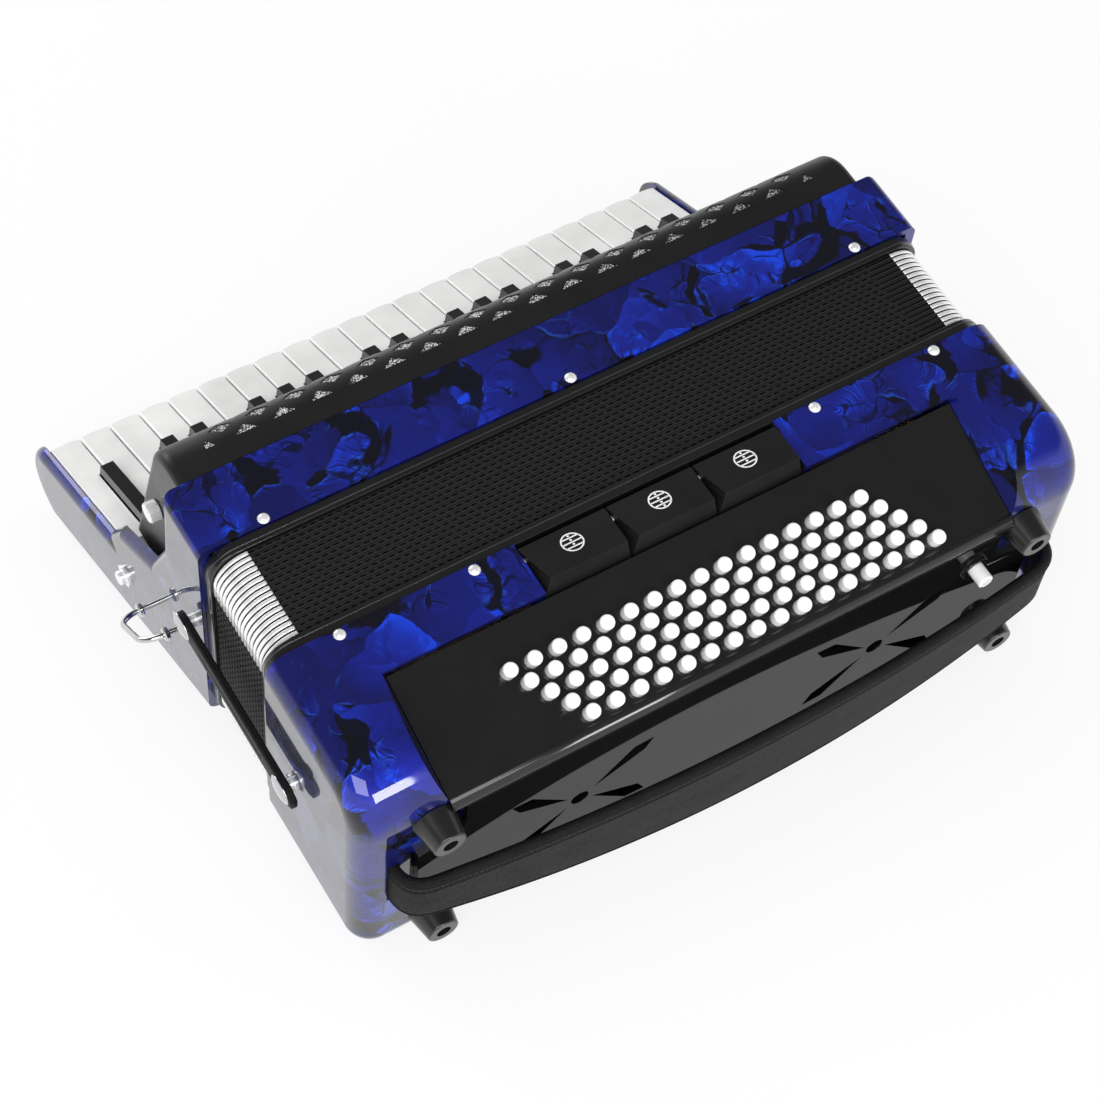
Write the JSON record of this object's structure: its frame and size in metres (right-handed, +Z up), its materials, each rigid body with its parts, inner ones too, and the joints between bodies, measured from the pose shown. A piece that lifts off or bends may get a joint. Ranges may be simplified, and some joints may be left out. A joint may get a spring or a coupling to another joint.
{
  "type": "piano accordion",
  "caption": "Piano accordion lying on its back: keyboard, pierced grille, closed bellows, stud bass board, hand strap and bellows straps.",
  "frame": {"origin": "bottom centre of the bounding box, on the surface the instrument lies on", "axes": "+X along the keyboard towards its high notes, +Y towards the keyboard's tips, +Z up; the bellows opens along a line 15.20 degrees above +Y"},
  "size_m": [0.4964, 0.4754, 0.2149],
  "materials": {
    "pearl": "blue pearl celluloid skin over a wooden case, polished",
    "timber": "bare spruce",
    "steel": "bright",
    "black_lacquer": "satin black",
    "silver_cloth": "woven silver grille cloth",
    "chrome": "polished",
    "bellows_cloth": "dark patterned bellows cloth over card",
    "black_gloss": "polished black",
    "rubber": "matt",
    "leather": "black smooth leather with stitched edges",
    "ivory": "polished white"
  },
  "bodies": {
    "bass": {"bass_case": "pearl", "bass_button_board": "black_lacquer", "bass_end_plate": "black_gloss", "bass_feet": "rubber", "bass_fasteners": "chrome", "bass_reed_blocks": "timber", "hand_strap": "leather", "bass_bellows_frame": "black_lacquer", "bellows_folds": "bellows_cloth", "bellows_guards": "chrome"},
    "treble": {"treble_case": "pearl", "keyboard_bed": "timber", "key_axle": "steel", "treble_soundboard": "timber", "treble_reed_blocks": "timber", "treble_grille": "black_lacquer", "grille_mesh": "silver_cloth", "treble_fasteners": "chrome", "shoulder_strap_loops": "chrome", "treble_bellows_frame": "black_lacquer"},
    "strap_left": {"bellows_strap_left": "leather"},
    "strap_right": {"bellows_strap_right": "leather"},
    "air": {"air_button": "ivory"},
    "bass_register_1_body": {"bass_register_1": "black_gloss"},
    "bass_register_2_body": {"bass_register_2": "black_gloss"},
    "bass_register_3_body": {"bass_register_3": "black_gloss"},
    "bass_button_row_1_body": {"bass_button_row_1": "ivory"},
    "bass_button_row_2_body": {"bass_button_row_2": "ivory"},
    "bass_button_row_3_body": {"bass_button_row_3": "ivory"},
    "bass_button_row_4_body": {"bass_button_row_4": "ivory"},
    "bass_button_row_5_body": {"bass_button_row_5": "ivory"},
    "black_keys_1_body": {"black_keys_1": "black_gloss"},
    "black_keys_2_body": {"black_keys_2": "black_gloss"},
    "black_keys_3_body": {"black_keys_3": "black_gloss"},
    "black_keys_4_body": {"black_keys_4": "black_gloss"},
    "black_keys_5_body": {"black_keys_5": "black_gloss"},
    "black_keys_6_body": {"black_keys_6": "black_gloss"},
    "black_keys_7_body": {"black_keys_7": "black_gloss"},
    "white_key_01_body": {"white_key_01": "ivory"},
    "white_key_02_body": {"white_key_02": "ivory"},
    "white_key_03_body": {"white_key_03": "ivory"},
    "white_key_04_body": {"white_key_04": "ivory"},
    "white_key_05_body": {"white_key_05": "ivory"},
    "white_key_06_body": {"white_key_06": "ivory"},
    "white_key_07_body": {"white_key_07": "ivory"},
    "white_key_08_body": {"white_key_08": "ivory"},
    "white_key_09_body": {"white_key_09": "ivory"},
    "white_key_10_body": {"white_key_10": "ivory"},
    "white_key_11_body": {"white_key_11": "ivory"},
    "white_key_12_body": {"white_key_12": "ivory"},
    "white_key_13_body": {"white_key_13": "ivory"},
    "white_key_14_body": {"white_key_14": "ivory"},
    "white_key_15_body": {"white_key_15": "ivory"},
    "white_key_16_body": {"white_key_16": "ivory"},
    "white_key_17_body": {"white_key_17": "ivory"},
    "white_key_18_body": {"white_key_18": "ivory"},
    "white_key_19_body": {"white_key_19": "ivory"},
    "white_key_20_body": {"white_key_20": "ivory"},
    "white_key_21_body": {"white_key_21": "ivory"},
    "white_key_22_body": {"white_key_22": "ivory"}
  },
  "joints": [
    {"name": "bellows", "type": "slide", "parent": "bass", "child": "treble", "axis": [0, 0.965, 0.2622], "range_m": [0, 0.25], "deforming": ["bellows_folds", "bellows_guards"]},
    {"name": "strap_left_swing", "type": "hinge", "parent": "treble", "child": "strap_left", "pos_m": [-0.229, -0.02825, 0.12818], "axis": [-1, 0, 0], "range_deg": [0, 95]},
    {"name": "strap_right_swing", "type": "hinge", "parent": "treble", "child": "strap_right", "pos_m": [0.229, -0.02825, 0.12818], "axis": [-1, 0, 0], "range_deg": [0, 95]},
    {"name": "bass_register_1_rock", "type": "hinge", "parent": "bass", "child": "bass_register_1_body", "pos_m": [-0.05287, -0.13267, 0.17494], "axis": [1, 0, 0], "range_deg": [0, 6], "stiffness_Nm_per_rad": 0.3, "springref_deg": -5.73},
    {"name": "bass_register_2_rock", "type": "hinge", "parent": "bass", "child": "bass_register_2_body", "pos_m": [0, -0.13267, 0.17494], "axis": [1, 0, 0], "range_deg": [0, 6], "stiffness_Nm_per_rad": 0.3, "springref_deg": -5.73},
    {"name": "bass_register_3_rock", "type": "hinge", "parent": "bass", "child": "bass_register_3_body", "pos_m": [0.05287, -0.13267, 0.17494], "axis": [1, 0, 0], "range_deg": [0, 6], "stiffness_Nm_per_rad": 0.3, "springref_deg": -5.73},
    {"name": "air_button_press", "type": "slide", "parent": "bass", "child": "air", "axis": [0, 0.965, 0.2622], "range_m": [0, 0.007], "stiffness_N_per_m": 200, "springref_m": -0.006},
    {"name": "bass_button_row_1_press", "type": "slide", "parent": "bass", "child": "bass_button_row_1_body", "axis": [0, 0.5679, -0.8231], "range_m": [0, 0.004], "stiffness_N_per_m": 400, "springref_m": -0.004},
    {"name": "bass_button_row_2_press", "type": "slide", "parent": "bass", "child": "bass_button_row_2_body", "axis": [0, 0.5679, -0.8231], "range_m": [0, 0.004], "stiffness_N_per_m": 400, "springref_m": -0.004},
    {"name": "bass_button_row_3_press", "type": "slide", "parent": "bass", "child": "bass_button_row_3_body", "axis": [0, 0.5679, -0.8231], "range_m": [0, 0.004], "stiffness_N_per_m": 400, "springref_m": -0.004},
    {"name": "bass_button_row_4_press", "type": "slide", "parent": "bass", "child": "bass_button_row_4_body", "axis": [0, 0.5679, -0.8231], "range_m": [0, 0.004], "stiffness_N_per_m": 400, "springref_m": -0.004},
    {"name": "bass_button_row_5_press", "type": "slide", "parent": "bass", "child": "bass_button_row_5_body", "axis": [0, 0.5679, -0.8231], "range_m": [0, 0.004], "stiffness_N_per_m": 400, "springref_m": -0.004},
    {"name": "black_keys_1_press", "type": "hinge", "parent": "treble", "child": "black_keys_1_body", "pos_m": [-0.196, 0.08579, 0.06331], "axis": [-1, 0, 0], "range_deg": [0, 2.2], "stiffness_Nm_per_rad": 0.6, "springref_deg": -7.45},
    {"name": "black_keys_2_press", "type": "hinge", "parent": "treble", "child": "black_keys_2_body", "pos_m": [-0.1568, 0.08579, 0.06331], "axis": [-1, 0, 0], "range_deg": [0, 2.2], "stiffness_Nm_per_rad": 1.2, "springref_deg": -7.45},
    {"name": "black_keys_3_press", "type": "hinge", "parent": "treble", "child": "black_keys_3_body", "pos_m": [-0.098, 0.08579, 0.06331], "axis": [-1, 0, 0], "range_deg": [0, 2.2], "stiffness_Nm_per_rad": 1.8, "springref_deg": -7.45},
    {"name": "black_keys_4_press", "type": "hinge", "parent": "treble", "child": "black_keys_4_body", "pos_m": [-0.0196, 0.08579, 0.06331], "axis": [-1, 0, 0], "range_deg": [0, 2.2], "stiffness_Nm_per_rad": 1.2, "springref_deg": -7.45},
    {"name": "black_keys_5_press", "type": "hinge", "parent": "treble", "child": "black_keys_5_body", "pos_m": [0.0392, 0.08579, 0.06331], "axis": [-1, 0, 0], "range_deg": [0, 2.2], "stiffness_Nm_per_rad": 1.8, "springref_deg": -7.45},
    {"name": "black_keys_6_press", "type": "hinge", "parent": "treble", "child": "black_keys_6_body", "pos_m": [0.1176, 0.08579, 0.06331], "axis": [-1, 0, 0], "range_deg": [0, 2.2], "stiffness_Nm_per_rad": 1.2, "springref_deg": -7.45},
    {"name": "black_keys_7_press", "type": "hinge", "parent": "treble", "child": "black_keys_7_body", "pos_m": [0.1764, 0.08579, 0.06331], "axis": [-1, 0, 0], "range_deg": [0, 2.2], "stiffness_Nm_per_rad": 1.2, "springref_deg": -7.45},
    {"name": "white_key_01_press", "type": "hinge", "parent": "treble", "child": "white_key_01_body", "pos_m": [-0.2058, 0.08579, 0.06331], "axis": [-1, 0, 0], "range_deg": [0, 2.2], "stiffness_Nm_per_rad": 0.6, "springref_deg": -7.45},
    {"name": "white_key_02_press", "type": "hinge", "parent": "treble", "child": "white_key_02_body", "pos_m": [-0.1862, 0.08579, 0.06331], "axis": [-1, 0, 0], "range_deg": [0, 2.2], "stiffness_Nm_per_rad": 0.6, "springref_deg": -7.45},
    {"name": "white_key_03_press", "type": "hinge", "parent": "treble", "child": "white_key_03_body", "pos_m": [-0.1666, 0.08579, 0.06331], "axis": [-1, 0, 0], "range_deg": [0, 2.2], "stiffness_Nm_per_rad": 0.6, "springref_deg": -7.45},
    {"name": "white_key_04_press", "type": "hinge", "parent": "treble", "child": "white_key_04_body", "pos_m": [-0.147, 0.08579, 0.06331], "axis": [-1, 0, 0], "range_deg": [0, 2.2], "stiffness_Nm_per_rad": 0.6, "springref_deg": -7.45},
    {"name": "white_key_05_press", "type": "hinge", "parent": "treble", "child": "white_key_05_body", "pos_m": [-0.1274, 0.08579, 0.06331], "axis": [-1, 0, 0], "range_deg": [0, 2.2], "stiffness_Nm_per_rad": 0.6, "springref_deg": -7.45},
    {"name": "white_key_06_press", "type": "hinge", "parent": "treble", "child": "white_key_06_body", "pos_m": [-0.1078, 0.08579, 0.06331], "axis": [-1, 0, 0], "range_deg": [0, 2.2], "stiffness_Nm_per_rad": 0.6, "springref_deg": -7.45},
    {"name": "white_key_07_press", "type": "hinge", "parent": "treble", "child": "white_key_07_body", "pos_m": [-0.0882, 0.08579, 0.06331], "axis": [-1, 0, 0], "range_deg": [0, 2.2], "stiffness_Nm_per_rad": 0.6, "springref_deg": -7.45},
    {"name": "white_key_08_press", "type": "hinge", "parent": "treble", "child": "white_key_08_body", "pos_m": [-0.0686, 0.08579, 0.06331], "axis": [-1, 0, 0], "range_deg": [0, 2.2], "stiffness_Nm_per_rad": 0.6, "springref_deg": -7.45},
    {"name": "white_key_09_press", "type": "hinge", "parent": "treble", "child": "white_key_09_body", "pos_m": [-0.049, 0.08579, 0.06331], "axis": [-1, 0, 0], "range_deg": [0, 2.2], "stiffness_Nm_per_rad": 0.6, "springref_deg": -7.45},
    {"name": "white_key_10_press", "type": "hinge", "parent": "treble", "child": "white_key_10_body", "pos_m": [-0.0294, 0.08579, 0.06331], "axis": [-1, 0, 0], "range_deg": [0, 2.2], "stiffness_Nm_per_rad": 0.6, "springref_deg": -7.45},
    {"name": "white_key_11_press", "type": "hinge", "parent": "treble", "child": "white_key_11_body", "pos_m": [-0.0098, 0.08579, 0.06331], "axis": [-1, 0, 0], "range_deg": [0, 2.2], "stiffness_Nm_per_rad": 0.6, "springref_deg": -7.45},
    {"name": "white_key_12_press", "type": "hinge", "parent": "treble", "child": "white_key_12_body", "pos_m": [0.0098, 0.08579, 0.06331], "axis": [-1, 0, 0], "range_deg": [0, 2.2], "stiffness_Nm_per_rad": 0.6, "springref_deg": -7.45},
    {"name": "white_key_13_press", "type": "hinge", "parent": "treble", "child": "white_key_13_body", "pos_m": [0.0294, 0.08579, 0.06331], "axis": [-1, 0, 0], "range_deg": [0, 2.2], "stiffness_Nm_per_rad": 0.6, "springref_deg": -7.45},
    {"name": "white_key_14_press", "type": "hinge", "parent": "treble", "child": "white_key_14_body", "pos_m": [0.049, 0.08579, 0.06331], "axis": [-1, 0, 0], "range_deg": [0, 2.2], "stiffness_Nm_per_rad": 0.6, "springref_deg": -7.45},
    {"name": "white_key_15_press", "type": "hinge", "parent": "treble", "child": "white_key_15_body", "pos_m": [0.0686, 0.08579, 0.06331], "axis": [-1, 0, 0], "range_deg": [0, 2.2], "stiffness_Nm_per_rad": 0.6, "springref_deg": -7.45},
    {"name": "white_key_16_press", "type": "hinge", "parent": "treble", "child": "white_key_16_body", "pos_m": [0.0882, 0.08579, 0.06331], "axis": [-1, 0, 0], "range_deg": [0, 2.2], "stiffness_Nm_per_rad": 0.6, "springref_deg": -7.45},
    {"name": "white_key_17_press", "type": "hinge", "parent": "treble", "child": "white_key_17_body", "pos_m": [0.1078, 0.08579, 0.06331], "axis": [-1, 0, 0], "range_deg": [0, 2.2], "stiffness_Nm_per_rad": 0.6, "springref_deg": -7.45},
    {"name": "white_key_18_press", "type": "hinge", "parent": "treble", "child": "white_key_18_body", "pos_m": [0.1274, 0.08579, 0.06331], "axis": [-1, 0, 0], "range_deg": [0, 2.2], "stiffness_Nm_per_rad": 0.6, "springref_deg": -7.45},
    {"name": "white_key_19_press", "type": "hinge", "parent": "treble", "child": "white_key_19_body", "pos_m": [0.147, 0.08579, 0.06331], "axis": [-1, 0, 0], "range_deg": [0, 2.2], "stiffness_Nm_per_rad": 0.6, "springref_deg": -7.45},
    {"name": "white_key_20_press", "type": "hinge", "parent": "treble", "child": "white_key_20_body", "pos_m": [0.1666, 0.08579, 0.06331], "axis": [-1, 0, 0], "range_deg": [0, 2.2], "stiffness_Nm_per_rad": 0.6, "springref_deg": -7.45},
    {"name": "white_key_21_press", "type": "hinge", "parent": "treble", "child": "white_key_21_body", "pos_m": [0.1862, 0.08579, 0.06331], "axis": [-1, 0, 0], "range_deg": [0, 2.2], "stiffness_Nm_per_rad": 0.6, "springref_deg": -7.45},
    {"name": "white_key_22_press", "type": "hinge", "parent": "treble", "child": "white_key_22_body", "pos_m": [0.2058, 0.08579, 0.06331], "axis": [-1, 0, 0], "range_deg": [0, 2.2], "stiffness_Nm_per_rad": 0.6, "springref_deg": -7.45}
  ]
}
